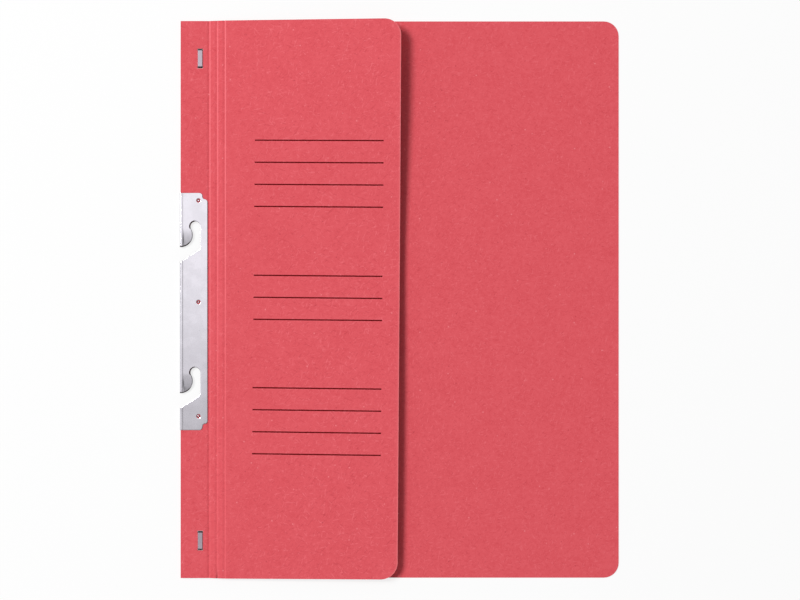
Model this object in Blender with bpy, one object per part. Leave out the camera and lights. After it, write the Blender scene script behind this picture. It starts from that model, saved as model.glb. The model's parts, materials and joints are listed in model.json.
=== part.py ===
"""Hook-in fastener folder: red card covers, a folded steel rail with two hook slots along the spine,
and a two-prong paper fastener inside.

Metres, +Z up. The folder lies closed on its back cover, with its head towards +Y and its fore edge
towards +X. The origin is on the surface it lies on, under the middle of its box.
"""

from math import acos, asin, atan2, ceil, cos, pi, radians, sin, sqrt, tan

import bmesh
import bpy
from mathutils import Vector

# Card sheets. Widths are measured from the spine edge.
COVER_WIDTH = 0.240
COVER_HEIGHT = 0.305
HALF_COVER_WIDTH = 0.120
CORNER_RADIUS = 0.0082
CARD_THICKNESS = 0.0003
LAYER_GAP = 0.0001

# Score lines of the front sheet, and how its flap stands when the folder lies closed.
CREASE_SETBACK = 0.0008
CREASE_PITCH = 0.0044
CREASE_GAP = 0.0002
SCORE_LEAD = 0.0012
SCORE_RISE = 0.0005
SCORE_DEPTH = 0.00018
FLAP_CLEARANCE = 0.0006
FORE_EDGE_LIFT = 0.0060
FORE_EDGE_LEAN = 0.0022
HEAD_CURL = 0.0047
HEAD_CURL_START = 0.0180
HEAD_CURL_RUN = 0.1120
FOOT_WAVE = 0.0012
FOOT_WAVE_RUN = 0.1900
FLAP_CORNER_RADIUS = 0.0092
WARP_STRIPS = 18

# Step in the back cover that brings its main panel down beside the rail.
STEP_SETBACK = 0.0010
STEP_RUN = 0.0040

# Hook rail, folded round the spine edge of the card.
RAIL_WIDTH = 0.0148
RAIL_THICKNESS = 0.00035
RAIL_FOLD_RADIUS = 0.0002
RAIL_HEAD_MARGIN = 0.0184
RAIL_FOOT_MARGIN = 0.0315
RAIL_END_WIDTH = 0.0120
RAIL_END_STEP = 0.0034
RAIL_CORNER_RADIUS = 0.0018
RAIL_INNER_RADIUS = 0.0012

# Hook slots: a round seat, a round nose that overhangs it, and a sloping mouth at the spine edge.
HOLE_SPACING = 0.080
SEAT_INSET = 0.0080
SEAT_RADIUS = 0.0028
SEAT_UNDERCUT = 0.0013
MOUTH_WIDTH = 0.0080
MOUTH_SLOPE = radians(33)
SLOT_FILLET = 0.0030

# Pinch of the noses, where no card lies between the rail's walls and only the fold stays round.
BEAD_WIDTH = 0.0008
PINCH_RUN = 0.0016
PINCH_SETBACK = 0.0005
PINCH_LENGTH = 0.0095

# Clinch points: a spike of the rear wall goes through the pierced card into a hole of the front wall.
CLINCH_INSET = 0.0098
CLINCH_HEAD_SETBACK = 0.0042
CLINCH_FOOT_SETBACK = 0.0076
CLINCH_MIDDLE_DROP = 0.0014
CLINCH_HOLE_RADIUS = 0.0011
SPIKE_RADIUS = 0.0006
SPIKE_TIP_RADIUS = 0.00045
SPIKE_CLEARANCE = 0.00012

# Flat-wire stitches.
STITCH_INSET = 0.0107
STITCH_SETBACK = 0.0205
CROWN_LENGTH = 0.0104
WIRE_WIDTH = 0.0026
WIRE_THICKNESS = 0.00035
WIRE_BEND_RADIUS = 0.0005
TAIL_GAP = 0.0022
SLIT_CLEARANCE = 0.0002

# Paper fastener: prong strip, cover bar and two locking sliders.
STRIP_SETBACK = 0.0050
STRIP_MARGIN = 0.0070
FASTENER_SETBACK = 0.0072
TONGUE_WIDTH = 0.0060
TONGUE_THICKNESS = 0.0003
TONGUE_TIP_RADIUS = 0.0026
CHANNEL_CLEARANCE = 0.0004
FLANGE_WIDTH = 0.0024
BAR_THICKNESS = 0.0003
BAR_OVERHANG = 0.0150
BAR_END_RADIUS = 0.0030
FASTENER_BEND = 0.00012
SLIDER_LENGTH = 0.0090
SLIDER_THICKNESS = 0.0003
SLIDER_SPACING = 0.0010
SLIDER_STANDOFF = 0.0008
LIP_CLEARANCE = 0.0006

ARC_STEP = radians(12)
FOLD_STEPS = 3
OVERSHOOT = 0.0020

# Levels of the layers, from the surface the folder lies on.
margin_z = max(RAIL_THICKNESS, WIRE_THICKNESS) + LAYER_GAP
rail_bottom = margin_z - LAYER_GAP - RAIL_THICKNESS
prong_base_z = CARD_THICKNESS + LAYER_GAP
strip_z = max(margin_z + CARD_THICKNESS, prong_base_z + TONGUE_THICKNESS) + LAYER_GAP
front_z = strip_z + CARD_THICKNESS + LAYER_GAP
front_top = front_z + CARD_THICKNESS
rail_front_z = front_top + LAYER_GAP
rail_top = rail_front_z + RAIL_THICKNESS
rail_middle = (rail_bottom + rail_top) / 2
bar_z = strip_z + CARD_THICKNESS + LAYER_GAP
flange_z = bar_z + SLIDER_THICKNESS + LAYER_GAP
tongue_z = bar_z + BAR_THICKNESS + LAYER_GAP
riser_top = tongue_z + TONGUE_THICKNESS
roof_z = max(flange_z + BAR_THICKNESS, riser_top) + LAYER_GAP
slider_top = roof_z + SLIDER_THICKNESS

# The two strips between the score lines climb, and the flap rises from there to its fore edge.
first_crease = RAIL_WIDTH + CREASE_SETBACK
strip_rise = asin((slider_top + FLAP_CLEARANCE - front_z) / (2 * CREASE_PITCH))
crease_x = [first_crease + i * CREASE_PITCH * cos(strip_rise) for i in range(3)]
crease_z = [front_top + i * CREASE_PITCH * sin(strip_rise) for i in range(3)]
flap_length = HALF_COVER_WIDTH - first_crease - 2 * CREASE_PITCH
flap_rise = asin((FORE_EDGE_LIFT - crease_z[2]) / flap_length)

# Plan of the fastener.
channel_half = TONGUE_WIDTH / 2 + CHANNEL_CLEARANCE
wall_half = channel_half + BAR_THICKNESS
flange_half = wall_half + FLANGE_WIDTH
slider_half = flange_half + LAYER_GAP + SLIDER_THICKNESS
fastener_x = crease_x[2] + FASTENER_SETBACK + slider_half
strip_width = fastener_x + slider_half + STRIP_MARGIN
riser_y = HOLE_SPACING / 2
bend_y = riser_y - TONGUE_THICKNESS / 2
slider_end_y = SLIDER_SPACING / 2 + SLIDER_LENGTH
tongue_length = bend_y - LAYER_GAP - slider_end_y - SLIDER_STANDOFF

# Plan of the rail and the stitches.
rail_reach = LAYER_GAP + RAIL_THICKNESS
rail_head = HOLE_SPACING / 2 + RAIL_HEAD_MARGIN
rail_foot = -HOLE_SPACING / 2 - RAIL_FOOT_MARGIN
clinch_ys = (rail_head - CLINCH_HEAD_SETBACK, -CLINCH_MIDDLE_DROP, rail_foot + CLINCH_FOOT_SETBACK)
stitch_ys = {"upper_stitch": COVER_HEIGHT / 2 - STITCH_SETBACK,
             "lower_stitch": STITCH_SETBACK - COVER_HEIGHT / 2}
leg_offset = (CROWN_LENGTH - WIRE_THICKNESS - WIRE_BEND_RADIUS) / 2
SIDES = {"upper": 1, "lower": -1}
seat_ys = [sign * HOLE_SPACING / 2 for sign in SIDES.values()]

# Hook slots, from their seats' centres: the nose circle is centred on the spine edge and touches the seat.
nose_radius = SEAT_INSET - SEAT_RADIUS + SEAT_UNDERCUT
nose_drop = sqrt((nose_radius + SEAT_RADIUS) ** 2 - SEAT_INSET ** 2)
nose_foot = -nose_drop - nose_radius
mouth_foot = nose_foot - MOUTH_WIDTH
slot_right = SEAT_INSET + SEAT_RADIUS

# Section of the folded rail along the middle of its sheet: a web, two quarter bends and two walls.
fold_radius = RAIL_FOLD_RADIUS + RAIL_THICKNESS / 2
web_half = rail_top - RAIL_THICKNESS / 2 - rail_middle - fold_radius
bend_end = web_half + fold_radius * pi / 2
wall_start = fold_radius - LAYER_GAP - RAIL_THICKNESS / 2
pinch_depth = (rail_front_z - rail_bottom - RAIL_THICKNESS - LAYER_GAP) / 2


def arc(centre, radius, start, end):
    """Points along an arc from one angle to the other, both ends included."""
    steps = max(1, ceil(abs(end - start) / ARC_STEP))
    angles = [start + (end - start) * i / steps for i in range(steps + 1)]
    return [(centre[0] + radius * cos(a), centre[1] + radius * sin(a)) for a in angles]


def fillet(before, corner, after, radius):
    """Arc of the given radius tangent to both sides of a corner, inside or outside."""
    corner = Vector(corner)
    to_before = (Vector(before) - corner).normalized()
    to_after = (Vector(after) - corner).normalized()
    half = acos(max(-1.0, min(1.0, to_before.dot(to_after)))) / 2
    centre = corner + (to_before + to_after).normalized() * (radius / sin(half))
    first = corner + to_before * (radius / tan(half)) - centre
    last = corner + to_after * (radius / tan(half)) - centre
    start = atan2(first.y, first.x)
    sweep = (atan2(last.y, last.x) - start + pi) % (2 * pi) - pi
    return arc(centre, radius, start, start + sweep)


def rounded(corners):
    """Closed outline through corners given as (u, v, radius), a radius of 0 being sharp."""
    points = []
    for i, (u, v, radius) in enumerate(corners):
        if radius:
            points += fillet(corners[i - 1][:2], (u, v), corners[(i + 1) % len(corners)][:2], radius)
        else:
            points.append((u, v))
    return points


def rectangle(u, v, width, height):
    """Outline of a rectangle about a centre."""
    return [(u + s * width / 2, v + t * height / 2) for s, t in ((-1, -1), (1, -1), (1, 1), (-1, 1))]


def circle(u, v, radius):
    """Outline of a full circle."""
    return arc((u, v), radius, 0, 2 * pi)[:-1]


# Where an outline's (u, v) and the height of its extrusion go, for an extrusion along X, Y or Z.
PLANES = {"X": lambda u, v, w: (w, u, v), "Y": lambda u, v, w: (u, w, v), "Z": lambda u, v, w: (u, v, w)}


def extrude(bm, outline, along, low, high):
    """Add a closed prism of an outline to a bmesh, from low to high along an axis."""
    place = PLANES[along]
    face = bm.faces.new([bm.verts.new(place(u, v, low)) for u, v in outline])
    grown = bmesh.ops.extrude_face_region(bm, geom=[face])["geom"]
    top = [item for item in grown if isinstance(item, bmesh.types.BMVert)]
    bmesh.ops.translate(bm, verts=top, vec=place(0, 0, high - low))
    bmesh.ops.recalc_face_normals(bm, faces=bm.faces)


def prisms(outlines, along, low, high):
    """A bmesh with one prism for each outline."""
    bm = bmesh.new()
    for outline in outlines:
        extrude(bm, outline, along, low, high)
    return bm


def split(bm, x=None, y=None):
    """Cut new edges into a sheet along one line, so that it can bend there."""
    point, normal = ((x, 0, 0), (1, 0, 0)) if y is None else ((0, y, 0), (0, 1, 0))
    bmesh.ops.bisect_plane(bm, geom=bm.verts[:] + bm.edges[:] + bm.faces[:], plane_co=point, plane_no=normal)


def score(bm, line_x):
    """Press the groove of a score line into the top of a sheet, or half of it where the sheet ends there.

    The sheet's top is at height 0. The groove falls gently from the spine side and rises steeply beyond.
    """
    for x in (line_x - SCORE_LEAD, line_x, line_x + SCORE_RISE):
        split(bm, x=x)
    for v in bm.verts:
        if abs(v.co.x - line_x) < CREASE_GAP and v.co.z > -CARD_THICKNESS / 2:
            v.co.z -= SCORE_DEPTH


def bend(bm, line_x, turn):
    """Turn what lies beyond a line upwards by an angle, about the line at the top of the sheet."""
    for v in bm.verts:
        reach, depth = v.co.x - line_x, v.co.z
        if reach > CREASE_GAP / 4:
            v.co.x = line_x + reach * cos(turn) - depth * sin(turn)
            v.co.z = reach * sin(turn) + depth * cos(turn)


def material(name, colour, roughness, metallic):
    """A plain Principled material."""
    made = bpy.data.materials.new(name)
    made.use_nodes = True
    shader = made.node_tree.nodes["Principled BSDF"]
    shader.inputs["Base Color"].default_value = (*colour, 1.0)
    shader.inputs["Roughness"].default_value = roughness
    shader.inputs["Metallic"].default_value = metallic
    return made


def add(name, bm, finish=None, location=(0, 0, 0), rotation=(0, 0, 0)):
    """Make a bmesh an object measured from the spine edge. Without a finish it is a cutter."""
    mesh = bpy.data.meshes.new(name)
    bm.to_mesh(mesh)
    bm.free()
    made = bpy.data.objects.new(name, mesh)
    bpy.context.collection.objects.link(made)
    made.parent = spine
    made.location = location
    made.rotation_euler = rotation
    if finish:
        mesh.materials.append(finish)
    else:
        made.hide_render = True
        made.display_type = "WIRE"
    return made


def cut(target, *cutters, operation="DIFFERENCE"):
    """Boolean a piece with cutters."""
    for cutter in cutters:
        boolean = target.modifiers.new(cutter.name, "BOOLEAN")
        boolean.operation = operation
        boolean.solver = "EXACT"
        boolean.object = cutter


def slot_edge(seat_y):
    """Edge of a hook slot in the rail's wall, from the mouth's foot round the seat to the nose's foot.

    Seat and nose touch, so the slot's left side is one S-curve. Its right side runs straight down from
    the seat to the sloping edge of the mouth.
    """
    turn = atan2(nose_drop, SEAT_INSET)
    foot = (0, seat_y + mouth_foot)
    corner = (slot_right, seat_y + mouth_foot + slot_right * tan(MOUTH_SLOPE))
    edge = [foot] + fillet(foot, corner, (slot_right, seat_y), SLOT_FILLET)
    edge += arc((SEAT_INSET, seat_y), SEAT_RADIUS, 0, pi + turn)
    return edge + arc((0, seat_y - nose_drop), nose_radius, turn, -pi / 2)[1:]


def card_notch(seat_y):
    """Outline of the notch in the card behind a hook slot, which leaves the steel nose free of card."""
    outside = (-OVERSHOOT, seat_y + mouth_foot - OVERSHOOT * tan(MOUTH_SLOPE))
    corner = (slot_right, seat_y + mouth_foot + slot_right * tan(MOUTH_SLOPE))
    edge = [outside] + fillet(outside, corner, (slot_right, seat_y), SLOT_FILLET)
    return edge + arc((SEAT_INSET, seat_y), SEAT_RADIUS, 0, pi) + [(-OVERSHOOT, seat_y)]


def make_cutters():
    """Through cuts that the card layers and the cover bar share."""
    tall = (-OVERSHOOT, rail_top + OVERSHOOT)
    legs = [rectangle(STITCH_INSET, y + side * leg_offset, WIRE_WIDTH + 2 * SLIT_CLEARANCE,
                      WIRE_THICKNESS + WIRE_BEND_RADIUS + 2 * SLIT_CLEARANCE)
            for y in stitch_ys.values() for side in SIDES.values()]
    risers = [rectangle(fastener_x, side * riser_y, TONGUE_WIDTH + 2 * SLIT_CLEARANCE,
                        TONGUE_THICKNESS + 2 * SLIT_CLEARANCE) for side in SIDES.values()]
    spikes = [circle(CLINCH_INSET, y, SPIKE_RADIUS + SPIKE_CLEARANCE) for y in clinch_ys]
    notches = [card_notch(y) for y in seat_ys]
    plans = {"hook_notches": notches, "stitch_slits": legs, "riser_slits": risers, "spike_holes": spikes}
    return {name: add(name, prisms(outlines, "Z", *tall)) for name, outlines in plans.items()}


def make_back_cover(cutters):
    """Full-width rear sheet, gripped at the spine and stepped down beside the rail to lie flat."""
    half = COVER_HEIGHT / 2
    bm = prisms([rounded([(0, -half, 0), (COVER_WIDTH, -half, CORNER_RADIUS),
                          (COVER_WIDTH, half, CORNER_RADIUS), (0, half, 0)])], "Z", 0, CARD_THICKNESS)
    step = RAIL_WIDTH + STEP_SETBACK
    split(bm, x=step)
    split(bm, x=step + STEP_RUN)
    for v in bm.verts:
        v.co.z += margin_z * max(0.0, min(1.0, (step + STEP_RUN - v.co.x) / STEP_RUN))
    cover = add("back_cover", bm, card)
    cut(cover, cutters["hook_notches"], cutters["stitch_slits"], cutters["spike_holes"])


def make_filing_strip(cutters):
    """Inner card strip that carries the prong strip, between the two covers."""
    half = COVER_HEIGHT / 2 - STRIP_SETBACK
    outline = rounded([(0, -half, 0), (strip_width, -half, CORNER_RADIUS),
                       (strip_width, half, CORNER_RADIUS), (0, half, 0)])
    bm = prisms([outline], "Z", strip_z, strip_z + CARD_THICKNESS)
    cut(add("filing_strip", bm, card), *cutters.values())


def make_front_sheet(cutters):
    """Half-width front sheet with three score lines, in two panels that fold at the middle line."""
    middle_crease = first_crease + CREASE_PITCH
    edge = middle_crease - CREASE_GAP / 2
    bm = prisms([rectangle(edge / 2, 0, edge, COVER_HEIGHT)], "Z", -CARD_THICKNESS, 0)
    score(bm, first_crease)
    score(bm, middle_crease)
    bend(bm, first_crease, strip_rise)
    margin = add("front_margin", bm, card, (0, 0, front_top))
    cut(margin, cutters["hook_notches"], cutters["stitch_slits"], cutters["spike_holes"])

    add("front_flap", flap_mesh(), card, (crease_x[1], 0, crease_z[1]), (0, -strip_rise, 0))


def warp(y):
    """Lift of the fore edge at a height on the sheet: a curl towards the head and a low wave at the foot."""
    curl = max(0.0, min(1.0, (y - HEAD_CURL_START) / HEAD_CURL_RUN))
    wave = max(0.0, min(1.0, (HEAD_CURL_START - y) / FOOT_WAVE_RUN))
    return HEAD_CURL * curl * curl * (3 - 2 * curl) + FOOT_WAVE * sin(pi * wave)


def flap_mesh():
    """The flap from the middle score line, its fore edge leaning and warped."""
    half, left, reach = COVER_HEIGHT / 2, CREASE_GAP / 2, CREASE_PITCH + flap_length
    foot_x, head_x = reach - FORE_EDGE_LEAN / 2, reach + FORE_EDGE_LEAN / 2
    bm = prisms([rounded([(left, -half, 0), (foot_x, -half, FLAP_CORNER_RADIUS),
                          (head_x, half, FLAP_CORNER_RADIUS), (left, half, 0)])], "Z", -CARD_THICKNESS, 0)
    score(bm, 0)
    score(bm, CREASE_PITCH)
    for i in range(1, WARP_STRIPS):
        split(bm, y=half * (2 * i / WARP_STRIPS - 1))
    for v in bm.verts:
        v.co.z += warp(v.co.y) * max(0.0, v.co.x - CREASE_PITCH) / flap_length
    bend(bm, CREASE_PITCH, flap_rise - strip_rise)
    bmesh.ops.triangulate(bm, faces=bm.faces)
    return bm


def developed(x):
    """Distance along the rail's sheet from the middle of its fold to a point x on a wall."""
    return bend_end + x - wall_start


def rail_blank():
    """The rail's flat sheet before folding: the front wall lies at +X of the fold and the rear wall at -X.

    Each hook slot is one opening across the fold, and the clinch holes are in the front wall only.
    """
    end, side = developed(RAIL_END_WIDTH), developed(RAIL_WIDTH)
    foot, head = rail_foot + RAIL_END_STEP, rail_head - RAIL_END_STEP
    right = [(end, rail_foot, RAIL_CORNER_RADIUS), (end, foot, RAIL_INNER_RADIUS),
             (side, foot, RAIL_CORNER_RADIUS), (side, head, RAIL_CORNER_RADIUS),
             (end, head, RAIL_INNER_RADIUS), (end, rail_head, RAIL_CORNER_RADIUS)]
    loops = [rounded(right + [(-u, v, radius) for u, v, radius in reversed(right)])]
    for seat_y in seat_ys:
        edge = [(developed(x), y) for x, y in slot_edge(seat_y)]
        loops.append(edge + [(-u, y) for u, y in reversed(edge)])
    loops += [circle(developed(CLINCH_INSET), y, CLINCH_HOLE_RADIUS) for y in clinch_ys]

    bm = bmesh.new()
    for loop in loops:
        corners = [bm.verts.new((u, v, -RAIL_THICKNESS / 2)) for u, v in loop]
        for i, corner in enumerate(corners):
            bm.edges.new((corners[i - 1], corner))
    bmesh.ops.triangle_fill(bm, edges=bm.edges[:], use_beauty=True, normal=(0, 0, 1))
    grown = bmesh.ops.extrude_face_region(bm, geom=bm.faces[:])["geom"]
    top = [item for item in grown if isinstance(item, bmesh.types.BMVert)]
    bmesh.ops.translate(bm, verts=top, vec=(0, 0, RAIL_THICKNESS))
    bmesh.ops.recalc_face_normals(bm, faces=bm.faces)
    return bm


def pinch(x, y):
    """Share of the full pinch at a point of a wall: 1 on a nose beyond its bead and root, else 0."""
    across = max(0.0, min(1.0, (x - BEAD_WIDTH) / PINCH_RUN))
    for seat_y in seat_ys:
        below = seat_y - PINCH_SETBACK - y
        if 0 < below and y > seat_y + nose_foot - LAYER_GAP and x < slot_right - LAYER_GAP:
            return across * min(1.0, below / PINCH_LENGTH)
    return 0.0


def fold(u, v, w):
    """Where a point of the blank goes: u across the fold, v along it, w outwards from the sheet's middle."""
    along, wall = abs(u), 1 if u > 0 else -1
    if along <= web_half:
        return wall_start - fold_radius - w, v, rail_middle + u
    turn = min(1.0, (along - web_half) / (bend_end - web_half)) * pi / 2
    x = wall_start - (fold_radius + w) * cos(turn) + max(0.0, along - bend_end)
    rise = web_half + (fold_radius + w) * sin(turn)
    return x, v, rail_middle + wall * (rise - pinch_depth * pinch(x, v))


def make_hook_rail():
    """Sheet-steel rail folded from its blank round the spine edge, with its noses pinched flat."""
    bm = rail_blank()
    bends = [web_half + (bend_end - web_half) * i / FOLD_STEPS for i in range(FOLD_STEPS + 1)]
    bends += [developed(BEAD_WIDTH), developed(BEAD_WIDTH + PINCH_RUN)]
    for bend in bends:
        split(bm, x=bend)
        split(bm, x=-bend)
    for seat_y in seat_ys:
        split(bm, y=seat_y - PINCH_SETBACK)
        split(bm, y=seat_y - PINCH_SETBACK - PINCH_LENGTH)
    for v in bm.verts:
        v.co = fold(*v.co)
    bmesh.ops.triangulate(bm, faces=bm.faces)
    cut(add("hook_rail", bm, plated_steel), add("spikes", spike_mesh()), operation="UNION")


def spike_mesh():
    """Tapered spikes, rooted in the rail's rear wall and ending inside the holes of the front wall."""
    root, tip = rail_bottom + RAIL_THICKNESS / 2, rail_top - LAYER_GAP
    bm = prisms([circle(CLINCH_INSET, y, SPIKE_RADIUS) for y in clinch_ys], "Z", root, tip)
    for v in bm.verts:
        if v.co.z > (root + tip) / 2:
            middle = min(clinch_ys, key=lambda y: abs(y - v.co.y))
            v.co.x = CLINCH_INSET + (v.co.x - CLINCH_INSET) * SPIKE_TIP_RADIUS / SPIKE_RADIUS
            v.co.y = middle + (v.co.y - middle) * SPIKE_TIP_RADIUS / SPIKE_RADIUS
    return bm


def make_stitches():
    """Flat-wire stitches: a crown on the front sheet, two legs through the card, tails clenched behind."""
    half, wire = CROWN_LENGTH / 2, WIRE_THICKNESS
    top, bottom = front_top + LAYER_GAP + wire, margin_z - LAYER_GAP - wire
    inner, outer = WIRE_BEND_RADIUS, WIRE_BEND_RADIUS + wire
    tail_end, leg = TAIL_GAP / 2, half - wire
    profile = rounded([
        (-tail_end, bottom, 0), (-half, bottom, outer), (-half, top, outer),
        (half, top, outer), (half, bottom, outer), (tail_end, bottom, 0),
        (tail_end, bottom + wire, 0), (leg, bottom + wire, inner), (leg, top - wire, inner),
        (-leg, top - wire, inner), (-leg, bottom + wire, inner), (-tail_end, bottom + wire, 0)])
    for name, y in stitch_ys.items():
        add(name, prisms([profile], "X", -WIRE_WIDTH / 2, WIRE_WIDTH / 2), wire_steel, (STITCH_INSET, y, 0))


def make_prongs():
    """Prong strip under the filing strip, with a riser at each hole and a tongue bent over the bar."""
    near, far = riser_y - TONGUE_THICKNESS / 2, riser_y + TONGUE_THICKNESS / 2
    floor = prong_base_z + TONGUE_THICKNESS
    inner, outer = FASTENER_BEND, FASTENER_BEND + TONGUE_THICKNESS
    profile = rounded([
        (-far, prong_base_z, outer), (far, prong_base_z, outer), (far, riser_top, 0), (near, riser_top, 0),
        (near, floor, inner), (-near, floor, inner), (-near, riser_top, 0), (-far, riser_top, 0)])
    half = TONGUE_WIDTH / 2
    add("tongue_strip", prisms([profile], "X", -half, half), fastener_steel, (fastener_x, 0, 0))

    tip = -LAYER_GAP - tongue_length
    tongue = rounded([(-half, -LAYER_GAP, 0), (-half, tip, TONGUE_TIP_RADIUS),
                      (half, tip, TONGUE_TIP_RADIUS), (half, -LAYER_GAP, 0)])
    for side, sign in SIDES.items():
        bm = prisms([tongue], "Z", -TONGUE_THICKNESS, 0)
        turned = (0, 0, 0 if sign > 0 else pi)
        add(side + "_tongue", bm, fastener_steel, (fastener_x, sign * bend_y, riser_top), turned)


def make_cover_bar(cutters):
    """Channelled bar that presses on the sheets, with a slot for each riser and round ends."""
    floor, flange_top = bar_z + BAR_THICKNESS, flange_z + BAR_THICKNESS
    bend = FASTENER_BEND
    profile = rounded([
        (-wall_half, bar_z, bend), (wall_half, bar_z, bend), (wall_half, flange_z, bend),
        (flange_half, flange_z, 0), (flange_half, flange_top, 0), (channel_half, flange_top, bend),
        (channel_half, floor, bend), (-channel_half, floor, bend), (-channel_half, flange_top, bend),
        (-flange_half, flange_top, 0), (-flange_half, flange_z, 0), (-wall_half, flange_z, bend)])
    half = riser_y + BAR_OVERHANG
    bar = add("cover_bar", prisms([profile], "Y", -half - OVERSHOOT, half + OVERSHOOT), fastener_steel,
              (fastener_x, 0, 0))
    blank = rounded([(fastener_x + s * (flange_half + LAYER_GAP / 2), t * half, BAR_END_RADIUS)
                     for s, t in ((-1, -1), (1, -1), (1, 1), (-1, 1))])
    ends = add("bar_blank", prisms([blank], "Z", bar_z - OVERSHOOT, flange_top + OVERSHOOT))
    cut(bar, ends, operation="INTERSECT")
    cut(bar, cutters["riser_slits"])


def make_sliders():
    """Clips that run on the bar's flanges, parked between the tongue tips that they lock."""
    inside, lip = flange_half + LAYER_GAP, wall_half + LIP_CLEARANCE
    lip_top = bar_z + SLIDER_THICKNESS
    outer = FASTENER_BEND + SLIDER_THICKNESS
    profile = rounded([
        (-lip, bar_z, 0), (-lip, lip_top, 0), (-inside, lip_top, 0), (-inside, roof_z, 0),
        (inside, roof_z, 0), (inside, lip_top, 0), (lip, lip_top, 0), (lip, bar_z, 0),
        (slider_half, bar_z, outer), (slider_half, slider_top, outer),
        (-slider_half, slider_top, outer), (-slider_half, bar_z, outer)])
    for side, sign in SIDES.items():
        bm = prisms([profile], "Y", -SLIDER_LENGTH / 2, SLIDER_LENGTH / 2)
        add(side + "_slider", bm, fastener_steel, (fastener_x, sign * (slider_end_y - SLIDER_LENGTH / 2), 0))


for old in list(bpy.data.objects):
    bpy.data.objects.remove(old, do_unlink=True)

card = material("red_card", (0.73, 0.105, 0.125), 0.75, 0.0)
plated_steel = material("plated_steel", (0.80, 0.79, 0.82), 0.30, 1.0)
wire_steel = material("wire_steel", (0.72, 0.71, 0.72), 0.28, 1.0)
fastener_steel = material("fastener_steel", (0.70, 0.70, 0.71), 0.32, 1.0)

# Every piece hangs on the spine edge, placed so that the folder's box is centred on the origin.
spine = bpy.data.objects.new("spine", None)
bpy.context.collection.objects.link(spine)
spine.location.x = (rail_reach - COVER_WIDTH) / 2

shared_cuts = make_cutters()
make_back_cover(shared_cuts)
make_filing_strip(shared_cuts)
make_front_sheet(shared_cuts)
make_hook_rail()
make_stitches()
make_prongs()
make_cover_bar(shared_cuts)
make_sliders()
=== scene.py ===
import json

import bmesh
import bpy
import numpy as np
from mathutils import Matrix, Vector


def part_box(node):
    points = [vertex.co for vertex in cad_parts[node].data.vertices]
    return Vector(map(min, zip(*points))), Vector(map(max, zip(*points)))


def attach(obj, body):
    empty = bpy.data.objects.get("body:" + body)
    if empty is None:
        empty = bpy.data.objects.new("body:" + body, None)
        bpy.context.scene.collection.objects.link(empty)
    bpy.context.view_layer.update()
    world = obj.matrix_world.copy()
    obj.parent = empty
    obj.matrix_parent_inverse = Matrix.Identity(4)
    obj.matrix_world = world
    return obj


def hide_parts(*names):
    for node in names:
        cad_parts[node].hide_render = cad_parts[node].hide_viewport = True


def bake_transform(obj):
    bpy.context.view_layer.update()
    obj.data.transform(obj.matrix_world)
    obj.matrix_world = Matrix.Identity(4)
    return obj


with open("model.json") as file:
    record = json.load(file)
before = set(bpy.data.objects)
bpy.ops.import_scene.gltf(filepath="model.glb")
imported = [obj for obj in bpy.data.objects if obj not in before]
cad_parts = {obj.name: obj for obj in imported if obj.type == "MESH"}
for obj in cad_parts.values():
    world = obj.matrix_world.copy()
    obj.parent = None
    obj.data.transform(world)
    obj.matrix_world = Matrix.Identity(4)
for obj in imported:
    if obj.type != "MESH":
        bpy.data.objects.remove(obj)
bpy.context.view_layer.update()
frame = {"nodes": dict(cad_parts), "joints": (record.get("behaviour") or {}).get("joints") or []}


# Back cover: a full sheet of red folder card, dyed through and pressed to a mottled, slightly fibrous face.
# It is die-cut with round fore corners, and its notched spine edge is gripped by the steel rail.

class Shade:
    """One socket of a material's nodes. Arithmetic on it adds Math nodes."""

    def __init__(self, tree, socket=None):
        self.tree, self.socket = tree, socket

    def node(self, kind, settings=(), sockets=(), out=0):
        """Add a node of a kind: its settings are set first, its sockets then get values or links."""
        made = self.tree.nodes.new(kind)
        for name, value in dict(settings).items():
            setattr(made, name, value)
        for name, value in dict(sockets).items():
            if isinstance(value, Shade):
                self.tree.links.new(value.socket, made.inputs[name])
            else:
                made.inputs[name].default_value = value
        return Shade(self.tree, made.outputs[out]) if made.outputs else None

    def math(self, operation, *values):
        return self.node("ShaderNodeMath", {"operation": operation}, enumerate(values))

    def __add__(self, other):
        return self.math("ADD", self, other)

    def __sub__(self, other):
        return self.math("SUBTRACT", self, other)

    def __rsub__(self, other):
        return self.math("SUBTRACT", other, self)

    def __mul__(self, other):
        return self.math("MULTIPLY", self, other)

    def __truediv__(self, other):
        return self.math("DIVIDE", self, other)

    def __rtruediv__(self, other):
        return self.math("DIVIDE", other, self)

    def __gt__(self, other):
        return self.math("GREATER_THAN", self, other)

    def __lt__(self, other):
        return self.math("LESS_THAN", self, other)

    def __abs__(self):
        return self.math("ABSOLUTE", self)

    __radd__, __rmul__ = __add__, __mul__


def new_finish(name):
    """An empty material and the wire that its nodes are built from."""
    finish = bpy.data.materials.new(name)
    finish.use_nodes = True
    finish.node_tree.nodes.clear()
    return finish, Shade(finish.node_tree)


def ramp(value, low, high):
    """0 below low, 1 above high and a smooth step between."""
    return value.node("ShaderNodeMapRange", {"interpolation_type": "SMOOTHSTEP"},
                      {"Value": value, "From Min": low, "From Max": high})


def tint(share, first, second):
    """The first colour where share is 0, the second where it is 1."""
    return share.node("ShaderNodeMix", {"data_type": "RGBA"}, {0: share, 6: first, 7: second}, out=2)


def cloud(place, scale, detail=2.0, roughness=0.5):
    """Noise with features of about 1/scale metres."""
    return place.node("ShaderNodeTexNoise", (), {"Vector": place, "Scale": scale, "Detail": detail,
                                                 "Roughness": roughness})


def turned(place, angle, along, across):
    """Coordinates turned about Z and stretched, so that noise on them lies in strokes of two sizes."""
    return place.node("ShaderNodeMapping", {"vector_type": "TEXTURE"},
                      {"Vector": place, "Rotation": (0, 0, angle), "Scale": (along, across, along)})


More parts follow.
